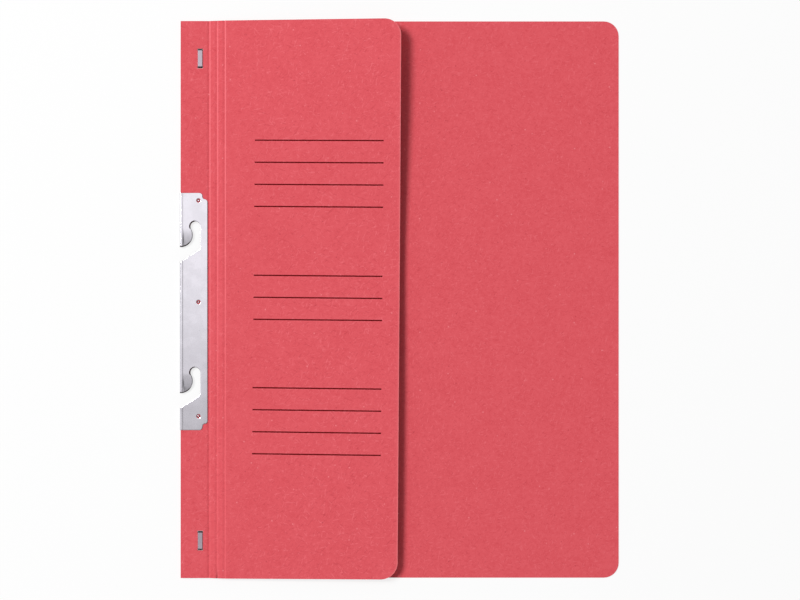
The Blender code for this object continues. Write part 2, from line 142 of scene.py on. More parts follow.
DEEP_RED, MID_RED = (0.700, 0.0845, 0.1035, 1), (0.765, 0.1088, 0.1300, 1)
# LIT_RUBBED_RED, beside each score, is partly crushed paler fibres and partly a painted highlight on the
# score's lit flank.
LIGHT_RED, LIT_RUBBED_RED = (0.790, 0.1215, 0.1447, 1), (0.930, 0.2100, 0.2400, 1)
PALE_FIBRE, DARK_FIBRE = (0.900, 0.2000, 0.2300, 1), (0.540, 0.0500, 0.0660, 1)
PALE_SPECK, DARK_SPECK = (0.930, 0.3000, 0.3300, 1), (0.480, 0.0450, 0.0600, 1)
# SHADED_EDGE is painted shade for the card's cut edges inside the rail.
PALE_EDGE_AND_HIGHLIGHT, SHADED_EDGE = (0.900, 0.2500, 0.2700, 1), (0.0300, 0.0060, 0.0070, 1)
PRINTING_INK = (0.1000, 0.0004, 0.0008, 1)
FIBRE_LENGTH, FIBRE_WIDTH = 0.0036, 0.0007
SPECKS_PER_METRE = 260.0
# Where the painted shade on the cut edges inside the rail lies.
RAIL_SHADE_X, RAIL_SHADE_MIDDLE_Y, RAIL_SHADE_HALF_LENGTH = -0.1052, -0.0065, 0.0640
CARD_RELIEF = 0.00012


def red_card(name, ink=None, rim=None, scores=()):
    """Card: red mottled over 2 to 12 mm, with paler and darker fibres and specks, and paler cut edges.

    ink and rim are functions of a wire that give the share of printing ink and of a pale band along an edge,
    which is a painted highlight. At each place in scores the card is dented across X from outside, and
    lightened beyond
    the dent, most towards the head: partly crushed paler fibres, partly a painted highlight on the lit flank.
    Cut edges that the rail covers are painted dark, as painted shade inside the rail.
    """
    finish, wire = new_finish(name)
    place = wire.node("ShaderNodeTexCoord", out="Object")
    x, y = (wire.node("ShaderNodeSeparateXYZ", (), {"Vector": place}, out=axis) for axis in "XY")
    clouds = cloud(place, 95, 3.0, 0.6) * 0.42 + cloud(place, 420, 2.0, 0.6) * 0.58
    grain = cloud(place, 1700, 2.0, 0.65)
    body = tint(ramp(clouds, 0.30, 0.70), DEEP_RED, MID_RED)
    body = tint(ramp(grain, 0.32, 0.68) * 0.56, body, LIGHT_RED)

    strokes = [cloud(turned(place, angle, FIBRE_LENGTH, FIBRE_WIDTH), 1.0, 1.5)
               for angle in (0.2, 1.3, 2.3, 2.8, 0.8)]
    pale = ramp(strokes[0], 0.62, 0.74) + ramp(strokes[1], 0.62, 0.74) + ramp(strokes[2], 0.64, 0.76)
    body = tint(pale * 0.38, body, PALE_FIBRE)
    dark = ramp(strokes[3], 0.62, 0.74) + ramp(strokes[4], 0.62, 0.74)
    body = tint(dark * 0.34, body, DARK_FIBRE)
    cells = {"Vector": place, "Scale": SPECKS_PER_METRE}
    flecks = place.node("ShaderNodeTexVoronoi", (), cells)
    chance = place.node("ShaderNodeSeparateColor", (),
                        {"Color": place.node("ShaderNodeTexVoronoi", (), cells, out="Color")})
    dots = 1 - ramp(flecks, 0.07, 0.13)
    body = tint(dots * (chance > 0.86) * 0.55, body, PALE_SPECK)
    body = tint(dots * (chance < 0.12) * 0.50, body, DARK_SPECK)

    normal = wire.node("ShaderNodeTexCoord", out="Normal")
    facing = wire.node("ShaderNodeSeparateXYZ", (), {"Vector": normal}, out="Z")
    edge = 1 - ramp(abs(facing), 0.35, 0.65)
    # The rim band is a painted highlight; PALE_EDGE_AND_HIGHLIGHT also colours the card's own paler cut
    # edges.
    if rim:
        edge = edge.math("MAXIMUM", edge, rim(wire))
    body = tint(edge * 0.7, body, PALE_EDGE_AND_HIGHLIGHT)
    # Painted shade: cut edges under the rail are darkened as if in the rail's shadow.
    under_rail = (x < RAIL_SHADE_X) * (abs(y - RAIL_SHADE_MIDDLE_Y) < RAIL_SHADE_HALF_LENGTH)
    body = tint(edge * under_rail, body, SHADED_EDGE)
    outside = facing > 0
    if scores:
        # Painted highlight, partly crushed fibres: a pale band on each score's lit flank, stronger towards
        # the head where the light comes from.
        band_full, band_fade, band_end = 0.0003, 0.0006, 0.0010
        bands = [ramp(x, at, at + band_full) * (1 - ramp(x, at + band_fade, at + band_end)) for at in scores]
        lit_and_rubbed = sum(bands) * outside * (0.20 + 0.50 * ramp(y, -0.10, 0.12))
        body = tint(lit_and_rubbed, body, LIT_RUBBED_RED)
    if ink:
        body = tint(ink(place) * outside, body, PRINTING_INK)

    height = grain * 0.6 + cloud(place, 5200, 1.0) * 0.4 + clouds * 0.5 + strokes[0] * 0.3
    relief = {"Strength": 0.22, "Distance": CARD_RELIEF, "Height": height}
    if scores:
        dent_lead, dent_rise = 0.0013, 0.0006
        dents = sum(ramp(x, at - dent_lead, at) * (1 - ramp(x, at, at + dent_rise)) for at in scores)
        dents = dents * (1 - 2 * outside)
        relief["Normal"] = wire.node("ShaderNodeBump", (), {"Distance": CARD_RELIEF, "Height": dents})
    relief = wire.node("ShaderNodeBump", (), relief)
    surface_shader = wire.node("ShaderNodeBsdfPrincipled", (), {
        "Base Color": body, "Roughness": 0.70 + 0.16 * grain, "Specular IOR Level": 0.04, "Normal": relief})
    wire.node("ShaderNodeOutputMaterial", (), {"Surface": surface_shader})
    return finish


def dress(node, finish):
    """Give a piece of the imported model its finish."""
    packed = frame["nodes"][node]
    packed.data.materials.clear()
    packed.data.materials.append(finish)


plain_card = red_card("plain_card")
dress("back_cover", plain_card)


# Filing strip: a narrower strip of the same card on the back cover, stitched in with it at the spine.
# The prong strip of the paper fastener comes up through two slits in it.

dress("filing_strip", plain_card)


# Prong strip: tin-plated steel strip under the filing strip, with a tongue at each end. Its risers pass
# through the slits and the cover bar, and the soft tongues bend over the bar to hold the sheets.

# Dark steel, tinted red as a painted reflection of the card; it stands for unplated steel and for painted
# shade.
DARK_STEEL_AND_SHADE = (0.0220, 0.0100, 0.0120, 1)
STEEL_RELIEF = 0.00003


def bright_steel(name, colour, roughness, grain, streak, cut=None):
    """Plated steel sheet: fine rolling lines along one axis, faint clouds, and small dull spots.

    streak stretches the rolling lines as (X, Y, Z) scales, and grain is their depth. cut is a function of a
    wire that gives the share of dark steel without the plating's shine: unplated steel, and painted shade
    where the caller gives shade.
    """
    finish, wire = new_finish(name)
    place = wire.node("ShaderNodeTexCoord", out="Object")
    lines = cloud(place.node("ShaderNodeMapping", (), {"Vector": place, "Scale": streak}), 1.0, 3.0, 0.6)
    clouds = cloud(place, 160, 3.0, 0.6)
    spots = ramp(cloud(place, 900, 2.0, 0.7), 0.62, 0.74)
    shaded = tuple(0.85 * part for part in colour[:3]) + (1,)
    body = tint(ramp(clouds, 0.35, 0.65) * 0.5 + spots * 0.25, colour, shaded)
    dull, metal = roughness + 0.06 * lines + 0.06 * spots, 1.0
    if cut:
        # The cut share paints shade as well as unplated steel: it darkens the colour and takes the metal
        # away.
        share = cut(wire)
        body = tint(share, body, DARK_STEEL_AND_SHADE)
        dull, metal = dull + 0.30 * share, 1 - share
    height = lines + cloud(place, 2600, 2.0) * 0.5
    relief = wire.node("ShaderNodeBump", (), {"Strength": grain, "Distance": STEEL_RELIEF, "Height": height})
    surface_shader = wire.node("ShaderNodeBsdfPrincipled", (), {
        "Base Color": body, "Metallic": metal, "Roughness": dull, "Specular IOR Level": 0.3,
        "Normal": relief})
    wire.node("ShaderNodeOutputMaterial", (), {"Surface": surface_shader})
    return finish


tinned = bright_steel("tinned_strip", (0.700, 0.700, 0.710, 1), 0.32, 0.20, (5200, 160, 5200))
for strip in ("tongue_strip", "upper_tongue", "lower_tongue"):
    dress(strip, tinned)


# Cover bar and sliders: a channelled steel bar that presses on the sheets, and two clips that run on its
# flanges and slide over the tongue tips to lock them. All are stamped from the same tinned strip.

for stamped in ("cover_bar", "upper_slider", "lower_slider"):
    dress(stamped, tinned)


# Front sheet: a half-width sheet of the same card, gripped with the others at the spine. Three pressed score
# lines let it fold, and a printing plate has ruled its flap with writing lines in dark ink.

cover_fold = next(joint for joint in frame["joints"] if joint["name"] == "cover_fold")
fold_x, fold_z = cover_fold["pos_m"][0], cover_fold["pos_m"][2]
HALF_HEIGHT = 0.1525
CARD = 0.0003
SCORE_PITCH, SCORE_LEAD, SCORE_RISE, SCORE_DEPTH = 0.0044, 0.0012, 0.0005, 0.00018
STRIP_RISE, FLAP_RISE = 0.194404, 0.028770
FLAP_REACH, FLAP_LEAN = 0.1000, 0.0022
HEAD_CURL, HEAD_CURL_START, HEAD_CURL_RUN = 0.0047, 0.0180, 0.1120
FOOT_WAVE, FOOT_WAVE_RUN = 0.0012, 0.1900
RIPPLE, RIPPLE_RUN, RIPPLE_PHASE = 0.00012, 0.031, 0.8
FLAP_CORNER, EDGE_BULGE, EDGE_HIGHLIGHT_DEPTH = 0.0092, 0.6, 0.00035
SCORES = [fold_x + side * SCORE_PITCH * np.cos(STRIP_RISE) for side in (-1, 0, 1)]
scored_card = red_card("scored_card", scores=SCORES)
dress("front_margin", scored_card)


def add_piece(name, mesh, finish):
    """A smooth-shaded object at the origin with one finish."""
    mesh.shade_smooth()
    mesh.materials.append(finish)
    piece = bpy.data.objects.new(name, mesh)
    bpy.context.scene.collection.objects.link(piece)
    return piece


def tube_mesh(name, rings):
    """Closed mesh of rings, an array of rings by points by 3: a quad between each four neighbours, and a
    face over the first and the last ring."""
    count, size = rings.shape[:2]
    index = np.arange(count * size).reshape(count, size)
    after = np.roll(index, -1, axis=1)
    quads = np.stack([index[:-1], after[:-1], after[1:], index[1:]], axis=-1).reshape(-1, 4)
    mesh = bpy.data.meshes.new(name)
    mesh.from_pydata(rings.reshape(-1, 3), [], quads.tolist() + [index[0, ::-1].tolist(), index[-1].tolist()])
    whole = bmesh.new()
    whole.from_mesh(mesh)
    bmesh.ops.recalc_face_normals(whole, faces=whole.faces)
    whole.to_mesh(mesh)
    whole.free()
    return mesh


def smooth(value, low, high):
    """3t^2 - 2t^3 of the share t of the way from low to high, 0 before and 1 after."""
    t = np.clip((value - low) / (high - low), 0, 1)
    return t * t * (3 - 2 * t)


def pressed(across):
    """Depth of a score line's groove: it falls evenly to SCORE_DEPTH over SCORE_LEAD before the line, and
    comes up over SCORE_RISE beyond it."""
    return SCORE_DEPTH * np.clip(1 - np.maximum(-across / SCORE_LEAD, across / SCORE_RISE), 0, 1)


def sheet_path(distance):
    """Place and slope of the front sheet's face at a distance beyond the middle score line.

    The slope goes from the strip's to the flap's by a smooth step across the outer score line. Place is the
    running sum of its cosine and sine.
    """
    fine = np.linspace(0, FLAP_REACH + FLAP_LEAN, 4001)
    past_score = smooth(fine, SCORE_PITCH - SCORE_RISE, SCORE_PITCH + SCORE_RISE)
    slope = STRIP_RISE + (FLAP_RISE - STRIP_RISE) * past_score
    step = fine[1] - fine[0]
    ways = np.cos(slope), np.sin(slope)
    run, rise = (np.concatenate([[0], np.cumsum(way[:-1]) * step]) for way in ways)
    return [np.interp(distance, fine, values) for values in (run, rise, slope)]


def flap_rings():
    """Rings of the flap, one for each height on the sheet: along its face to the fore edge, round the edge
    and back underneath.

    The fore edge leans by FLAP_LEAN from foot to head, and a circle of FLAP_CORNER rounds its two corners.
    The face is pressed in at each score. It lifts with the share of the way to the fore edge, times a smooth
    step up to the head and half a sine wave at the foot, and ripples a little. Each ring point also gets its
    distance from the fore edge.
    """
    corner = HALF_HEIGHT - FLAP_CORNER + FLAP_CORNER * np.sin(np.linspace(0, np.pi / 2, 19))
    height = np.concatenate([-corner[::-1], np.linspace(-corner[0], corner[0], 73)[1:-1], corner])[:, None]
    over = np.clip(np.abs(height) - (HALF_HEIGHT - FLAP_CORNER), 0, FLAP_CORNER)
    straight = FLAP_REACH + FLAP_LEAN / 2 * height / HALF_HEIGHT
    reach = straight - FLAP_CORNER + np.sqrt(FLAP_CORNER**2 - over**2)

    # The rows lie close together at both score lines and in the last stretch before the fore edge.
    at_fold, on_strip = np.linspace(0.0001, 0.0006, 6), np.linspace(0.0012, 0.0030, 4)
    at_score, on_flap = np.linspace(0.0032, 0.0050, 19), np.linspace(0.0065, 0.0870, 42)
    fixed = np.concatenate([at_fold, on_strip, at_score, on_flap])
    from_edge = np.array([[0.0032, 0.0024, 0.0017, 0.0011, 0.0007, 0.00042, 0.00025, 0.00012, 0.00005, 0.0]])
    last_stretch = from_edge.max()
    span = FLAP_REACH - FLAP_CORNER - last_stretch
    fore = span + (reach - span) * (1 - from_edge / (FLAP_CORNER + last_stretch))
    face = np.concatenate([np.broadcast_to(fixed, (len(height), len(fixed))), fore], axis=1)

    round_edge = np.linspace(np.pi / 2, -np.pi / 2, 7)[1:-1]
    bulge = np.broadcast_to(0.5 * CARD * np.cos(round_edge) * EDGE_BULGE, (len(height), len(round_edge)))
    distance = np.concatenate([face, reach + bulge, face[:, ::-1]], axis=1)
    depth = np.concatenate([np.zeros(face.shape[1]), 0.5 * CARD * (1 - np.sin(round_edge)),
                            np.full(face.shape[1], CARD)])[None]

    run, rise, slope = sheet_path(distance)
    groove = pressed(distance) + pressed(distance - SCORE_PITCH)
    share = np.clip((distance - SCORE_PITCH) / (FLAP_REACH - SCORE_PITCH), 0, None)
    curl = smooth(height, HEAD_CURL_START, HEAD_CURL_START + HEAD_CURL_RUN)
    wave = np.sin(np.pi * np.clip((HEAD_CURL_START - height) / FOOT_WAVE_RUN, 0, 1))
    ripple = share * np.sin(height / RIPPLE_RUN + RIPPLE_PHASE)
    lift = share * (HEAD_CURL * curl + FOOT_WAVE * wave + RIPPLE * ripple)
    lift = lift - depth - groove * (depth < CARD / 2)
    rings = np.stack([fold_x + run - lift * np.sin(slope), np.broadcast_to(height, run.shape),
                      fold_z + rise + lift * np.cos(slope)], axis=-1)
    return rings, np.maximum(reach - distance, 0)


def carried(name):
    """A function of a wire that gives the share that a mesh carries on its points under a name."""
    return lambda wire: wire.node("ShaderNodeAttribute", {"attribute_name": name}, out="Fac")


def carry(mesh, name, shares):
    """Write a share on each point of a mesh."""
    mesh.attributes.new(name, "FLOAT", "POINT").data.foreach_set("value", np.ravel(shares).astype(np.float32))


def ruled_lines(place):
    """Ink share of the writing lines: eleven lines, in rows of 4, 3 and 4, at one pitch within each row.

    The sheet's coordinates are turned by the small slant of the print. Within a row, a line lies where the
    distance from the nearest multiple of the pitch is under half the line's width.
    """
    slant, start, stop, pitch, half_width = 0.0094, -0.0797, -0.0093, 0.01203, 0.00036
    rows = ((0.0682, 3), (0.0005, 2), (-0.0669, 3))
    x, y = (place.node("ShaderNodeSeparateXYZ", (), {"Vector": place}, out=axis) for axis in "XY")
    across, level = x - slant * y, y + slant * x
    total = 0.0
    for middle, gaps in rows:
        phase = (level - (middle - gaps * pitch / 2)) / pitch
        nearest = abs(phase - phase.math("ROUND", phase)) * pitch
        in_row = abs(level - middle) < (gaps + 0.5) * pitch / 2
        total = in_row * (1 - ramp(nearest, half_width * 0.8, half_width * 1.2)) + total
    worn = 0.94 + 0.06 * ramp(cloud(place, 900, 2.0, 0.6), 0.35, 0.55)
    return total * (across > start) * (across < stop) * worn


rings, to_edge = flap_rings()
flap_mesh = tube_mesh("flap_sheet", rings)
# Painted highlight: a pale band along the fore edge, for the light that the rounded cut edge catches.
carry(flap_mesh, "worn_edge", np.exp(-to_edge / EDGE_HIGHLIGHT_DEPTH))
ruled_card = red_card("ruled_card", ruled_lines, carried("worn_edge"), SCORES)
flap = add_piece("flap_sheet", flap_mesh, ruled_card)
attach(flap, "front_cover")
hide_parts("front_flap")


# Middle score line: the card itself, thinned where the scoring rule pressed it, is the cover's hinge. It is a
# shallow groove from head to foot.

def score_rings():
    """Rings across the groove, carried from foot to head: pressed in on top and flat underneath.

    The top stands proud of the card by a hair, and dips into it by a smooth step at both sides.
    """
    half, dip_start, dip, proud, thickness = 0.00062, 0.00054, 0.00003, 0.000004, 0.00026
    across = np.linspace(-half, half, 33)
    top = pressed(across) - proud + dip * smooth(np.abs(across), dip_start, half)
    run = np.concatenate([across, across[::-1]])
    depth = np.concatenate([top, np.full(len(top), thickness)])
    height = np.linspace(-HALF_HEIGHT, HALF_HEIGHT, 45)[:, None]
    x = fold_x + run * np.cos(STRIP_RISE) + depth * np.sin(STRIP_RISE)
    z = fold_z + run * np.sin(STRIP_RISE) - depth * np.cos(STRIP_RISE)
    return np.stack(np.broadcast_arrays(x[None], height, z[None]), axis=-1)


score_line = add_piece("middle_score", tube_mesh("middle_score", score_rings()), scored_card)
fold_x - 0.0005
fold_x + 0.0005
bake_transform(score_line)


# Hook rail: bright zinc-plated steel sheet, blanked with its two hook slots and folded round the spine edge
# of the card. It is clinched to the card at three holes, and its noses are pinched together beside the fold.

SHEET = 0.00035
SPINE_X = -0.119775
RAIL_LOW, RAIL_HIGH = (float(corner.z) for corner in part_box("hook_rail"))


def arc(x, y, radius, start, stop, steps=24):
    """Points on a circle from one angle to another."""
    angle = np.linspace(start, stop, steps)
    return np.stack([x + radius * np.cos(angle), y + radius * np.sin(angle)], axis=-1)


def fillet(before, corner, after, radius):
    """Arc of a radius that touches both sides of a corner."""
    before, corner, after = (np.asarray(p, float) for p in (before, corner, after))
    one, two = ((p - corner) / np.linalg.norm(p - corner) for p in (before, after))
    half = np.arccos(np.clip(one @ two, -1, 1)) / 2
    centre = corner + (one + two) / np.linalg.norm(one + two) * radius / np.sin(half)
    first, last = (corner + side * radius / np.tan(half) - centre for side in (one, two))
    start = np.arctan2(first[1], first[0])
    sweep = (np.arctan2(last[1], last[0]) - start + np.pi) % (2 * np.pi) - np.pi
    return arc(*centre, radius, start, start + sweep, 10)


class Rail:
    """Sizes of the rail, from the spine edge and the middle of the folder."""

    width, end_width, end_step = 0.0148, 0.0120, 0.0034
    head, foot = 0.0584, -0.0715
    corner, inner_corner = 0.0018, 0.0012
    seats = (0.040, -0.040)
    seat_inset, seat_radius = 0.0080, 0.0028
    nose_radius, nose_reach, nose_margin = 0.0065, 0.0105, 0.0001
    mouth, slope, slot_fillet = 0.0080, np.radians(33), 0.0030
    clinches = ((0.0098, 0.0542), (0.0098, -0.0014), (0.0098, -0.0639))
    clinch_radius = 0.0011
    inner_radius, card_gap, nose_half_gap = 0.0002, 0.0001, 0.00012
    fold_radius = inner_radius + SHEET / 2
    web_half = (RAIL_HIGH - RAIL_LOW - SHEET) / 2 - fold_radius
    bend_end = web_half + fold_radius * np.pi / 2
    wall_start = fold_radius - card_gap - SHEET / 2
    bead, bead_step, bead_rise = 0.0009, 0.0005, 0.00006
    flare, flare_start, flare_stop = 0.00007, 0.0040, 0.0180
    pinch_run, pinch_setback, pinch_length, pinch_power = 0.0010, 0.0005, 0.0108, 1.7
    pinch_depth = (RAIL_HIGH - RAIL_LOW) / 2 - SHEET - nose_half_gap
    # The last two: how far in from a slot's edge the painted shade round the seats and noses reaches, and
    # where it has faded.
    edge, ring, bare, bare_fade = 0.00020, 0.00046, 0.00052, 0.00062


nose_drop = np.sqrt((Rail.nose_radius + Rail.seat_radius) ** 2 - Rail.seat_inset**2)


def slot_edge(seat):
    """Edge of a hook slot, from the foot of its mouth up the right side, over the seat and down the nose.

    The nose is a circle about the spine edge that touches the seat's circle, so the left side is an S.
    """
    turn = np.arctan2(nose_drop, Rail.seat_inset)
    right = Rail.seat_inset + Rail.seat_radius
    foot = (0.0, seat - nose_drop - Rail.nose_radius - Rail.mouth)
    corner = (right, foot[1] + right * np.tan(Rail.slope))
    return np.concatenate([[foot], fillet(foot, corner, (right, seat), Rail.slot_fillet),
                           arc(Rail.seat_inset, seat, Rail.seat_radius, 0, np.pi + turn, 40),
                           arc(0, seat - nose_drop, Rail.nose_radius, turn, -np.pi / 2, 50)[1:]])


def flat_outlines():
    """Closed outlines of the flat blank, with the fold along u = 0: its border anticlockwise, and each slot
    and clinch hole clockwise, so that the steel is always at the left."""
    end, side = (Rail.bend_end + size - Rail.wall_start for size in (Rail.end_width, Rail.width))
    low, high = Rail.foot + Rail.end_step, Rail.head - Rail.end_step
    right = [(end, Rail.foot, Rail.corner), (end, low, Rail.inner_corner), (side, low, Rail.corner),
             (side, high, Rail.corner), (end, high, Rail.inner_corner), (end, Rail.head, Rail.corner)]
    corners = right + [(-u, v, radius) for u, v, radius in right[::-1]]
    count = len(corners)
    border = [fillet(corners[i - 1][:2], corners[i][:2], corners[(i + 1) % count][:2], corners[i][2])
              for i in range(count)]
    edges = [slot_edge(seat) + [Rail.bend_end - Rail.wall_start, 0] for seat in Rail.seats]
    slots = [np.concatenate([edge, edge[::-1] * [-1, 1]])[::-1] for edge in edges]
    holes = [arc(Rail.bend_end + x - Rail.wall_start, y, Rail.clinch_radius, 2 * np.pi, 0, 41)[:-1]
             for x, y in Rail.clinches]
    return np.concatenate(border), slots, holes


def even_spacing(outline, step=0.0003):
    """The outline with points at even steps along its length."""
    closed = np.concatenate([outline, outline[:1]])
    length = np.concatenate([[0], np.cumsum(np.linalg.norm(np.diff(closed, axis=0), axis=1))])
    at = np.linspace(0, length[-1], max(24, int(length[-1] / step)), endpoint=False)
    return np.stack([np.interp(at, length, closed[:, axis]) for axis in (0, 1)], axis=-1)


def rim_grid(outline, rows):
    """Half-round edge along an outline: from the face, over the edge and onto the other face.

    A point is the outline's, moved into the steel by edge (1 - cos a), at a height of SHEET / 2 sin a. More
    rows on each face, at given distances from the outline, keep the flat face flat.
    """
    ahead, behind = np.roll(outline, -1, axis=0), np.roll(outline, 1, axis=0)
    along = (ahead - behind) / np.linalg.norm(ahead - behind, axis=1, keepdims=True)
    inward = np.stack([-along[:, 1], along[:, 0]], axis=-1)
    angle = np.linspace(np.pi / 2, -np.pi / 2, 9)
    depth = np.concatenate([rows[::-1], Rail.edge * (1 - np.cos(angle)), rows])
    level = np.concatenate([np.ones(len(rows)), np.sin(angle), -np.ones(len(rows))]) * SHEET / 2
    plan = outline[None] + inward[None] * depth[:, None, None]
    return np.concatenate([plan, np.broadcast_to(level[:, None, None], plan.shape[:2] + (1,))], axis=-1)


def flat_blank():
    """The blank as a closed mesh: a half-round rim along every outline, and both faces filled between."""
    border, slots, holes = flat_outlines()
    plain, wide = (Rail.ring,), (Rail.bare, Rail.bare_fade)
    grids = [rim_grid(even_spacing(border), plain)]
    grids += [rim_grid(even_spacing(slot), wide) for slot in slots]
    grids += [rim_grid(even_spacing(hole), plain) for hole in holes]
    quads, points = [], 0
    for grid in grids:
        index = points + np.arange(grid[..., 0].size).reshape(grid.shape[:2])
        before = np.roll(index, 1, axis=1)
        quads.append(np.stack([before[:-1], before[1:], index[1:], index[:-1]], axis=-1).reshape(-1, 4))
        points += index.size
    rims = bpy.data.meshes.new("folded_rail")
    rims.from_pydata(np.concatenate([grid.reshape(-1, 3) for grid in grids]), [], np.concatenate(quads))
    blank = bmesh.new()
    blank.from_mesh(rims)
    open_edges = [edge for edge in blank.edges if edge.is_boundary]
    for face in (1, -1):
        side = [edge for edge in open_edges if edge.verts[0].co.z * face > 0]
        bmesh.ops.triangle_fill(blank, edges=side, use_beauty=True, normal=(0, 0, face))
    return blank, rims


def crease_lines(blank):
    """Cut edges into the blank where it bends: round the fold, along the flare and over the pinched noses."""
    folds = np.concatenate([np.linspace(0, Rail.web_half, 3),
                            np.linspace(Rail.web_half, Rail.bend_end, 9)[1:]])
    pinches = Rail.bead + np.linspace(0, Rail.pinch_run, 9)
    flares = np.linspace(Rail.flare_start, Rail.width - 2 * Rail.edge, 13)
    walls = Rail.bend_end - Rail.wall_start + np.concatenate([pinches, flares])
    heights = [seat - Rail.pinch_setback - Rail.pinch_length * share
               for seat in Rail.seats for share in np.linspace(0, 1, 9)]
    lines = [((u * side, 0, 0), (1, 0, 0)) for u in np.concatenate([folds, walls]) for side in (1, -1)]
    lines += [((0, v, 0), (0, 1, 0)) for v in heights]
    for point, normal in lines:
        bmesh.ops.bisect_plane(blank, geom=blank.verts[:] + blank.edges[:] + blank.faces[:],
                               plane_co=point, plane_no=normal, dist=1e-7)


def folded(flat):
    """Where the points (u, v, w) of the blank go: u runs round the web, two quarter bends and two walls.

    Beside the fold's bead the walls step in by bead_rise, and the front wall flares by a smooth step towards
    its free edge. The noses are pressed to the middle by pinch_depth, times a smooth step across beyond the
    bead and the power pinch_power of the share of the way down from the seat.
    """
    u, v, w = flat.T
    along, wall = np.abs(u), np.where(u > 0, 1.0, -1.0)
    turn = np.clip((along - Rail.web_half) / (Rail.bend_end - Rail.web_half), 0, 1) * np.pi / 2
    x = Rail.wall_start - (Rail.fold_radius + w) * np.cos(turn) + np.maximum(along - Rail.bend_end, 0)
    rise = np.minimum(along, Rail.web_half) + (Rail.fold_radius + w) * np.sin(turn)
    rise = rise - Rail.bead_rise * smooth(x, Rail.bead, Rail.bead + Rail.bead_step)
    rise = rise + Rail.flare * smooth(x, Rail.flare_start, Rail.flare_stop) * (wall > 0)
    past_bead = smooth(x, Rail.bead, Rail.bead + Rail.pinch_run)
    pinch = 0.0
    for seat in Rail.seats:
        below = np.clip((seat - Rail.pinch_setback - v) / Rail.pinch_length, 0, 1)
        on_nose = (v > seat - nose_drop - Rail.nose_radius - Rail.nose_margin) & (x < Rail.nose_reach)
        pinch = pinch + on_nose * past_bead * below**Rail.pinch_power
    middle = (RAIL_HIGH + RAIL_LOW) / 2
    return np.stack([SPINE_X + x, v, middle + wall * (rise - Rail.pinch_depth * pinch)], axis=-1)


def shaded_and_unplated_steel(flat):
    """Share of dark steel at the points of the blank: all of the sheared edge below its rounded corner, which
    is unplated steel.

    Round the upper left of each seat and under each nose, the rounding and a band in from it are dark too:
    this is painted shade along edges that face away from the light. It fades by a smooth step in from the
    circle's edge.
    """
    x, y = np.abs(flat[:, 0]) - Rail.bend_end + Rail.wall_start, flat[:, 1]
    share = 1 - smooth(flat[:, 2], -0.1 * SHEET, 0.3 * SHEET)
    for seat in Rail.seats:
        off_seat = np.hypot(x - Rail.seat_inset, y - seat) - Rail.seat_radius
        off_nose = Rail.nose_radius - np.hypot(x, y - seat + nose_drop)
        upper_left = smooth(Rail.seat_inset - x, -0.0008, 0.0008) * smooth(y - seat, -0.0016, -0.0006)
        down = seat - nose_drop - y
        under = smooth(down, 0.0010, 0.0050) * (down < Rail.nose_radius + Rail.nose_margin)
        for gap, where in ((off_seat, upper_left), (off_nose, under)):
            share = np.maximum(share, where * (1 - smooth(np.abs(gap), Rail.bare, Rail.bare_fade)))
    return share


blank, rail_mesh = flat_blank()
crease_lines(blank)
bmesh.ops.triangulate(blank, faces=blank.faces[:])
bmesh.ops.recalc_face_normals(blank, faces=blank.faces)
blank.to_mesh(rail_mesh)
blank.free()
flat = np.empty(len(rail_mesh.vertices) * 3)
rail_mesh.vertices.foreach_get("co", flat)
flat = flat.reshape(-1, 3)
rail_mesh.vertices.foreach_set("co", folded(flat).ravel())
# The rail carries its dark share: unplated sheared steel, and painted shade round the seats and under the
# noses.
carry(rail_mesh, "bare_steel", shaded_and_unplated_steel(flat))
rail_mesh.update()
zinc = bright_steel("zinc_plate", (0.800, 0.770, 0.838, 1), 0.10, 0.05, (3800, 120, 3800),
                    carried("bare_steel"))
rail = add_piece("folded_rail", rail_mesh, zinc)
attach(rail, "folder")
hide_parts("hook_rail")


# Clinch spikes: drawn up from the rail's rear wall and driven through the card. Their blunt tips stand in the
# holes of the front wall and hold the rail in place.

def spike_rings(x, y):
    """Circles up the spike: they taper evenly from root to tip, which rounds off by a quarter circle."""
    radius, tip_radius, rounding, tip_depth = 0.0006, 0.00045, 0.0002, 0.0001
    root, tip = RAIL_LOW + SHEET / 2, RAIL_HIGH - tip_depth
    bend = np.linspace(0, np.pi / 2, 7)[:-1]
    height = np.concatenate([[root], tip - rounding + rounding * np.sin(bend), [tip]])
    flat_tip = tip_radius - rounding
    size = np.concatenate([[radius], flat_tip + rounding * np.cos(bend), [flat_tip]])
    angle = np.linspace(0, 2 * np.pi, 32, endpoint=False)
    plan = np.stack([SPINE_X + x + size[:, None] * np.cos(angle), y + size[:, None] * np.sin(angle)], axis=-1)
    return np.concatenate([plan, np.broadcast_to(height[:, None, None], plan.shape[:2] + (1,))], axis=-1)


drawn_steel = bright_steel("drawn_spike", (0.700, 0.670, 0.720, 1), 0.25, 0.10, (900, 900, 900))
for spot, (x, y) in zip(("head", "middle", "foot"), Rail.clinches):
    spike = add_piece(spot + "_spike", tube_mesh(spot + "_spike", spike_rings(x, y)), drawn_steel)
    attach(spike, "folder")


# Stitches: flat steel wire, cut and driven through the three layers by a stitching head. The crown lies on
# the front sheet, and the two legs turn in on the back cover. The bends are painted dark, as painted shade
# where the wire dips into the card.

HALF_WIRE, BEND_RADIUS, TAIL_INSET = 0.000175, 0.000675, 0.0011
BEND_SHADE_START, BEND_SHADE_FULL = 0.0010, 0.0005


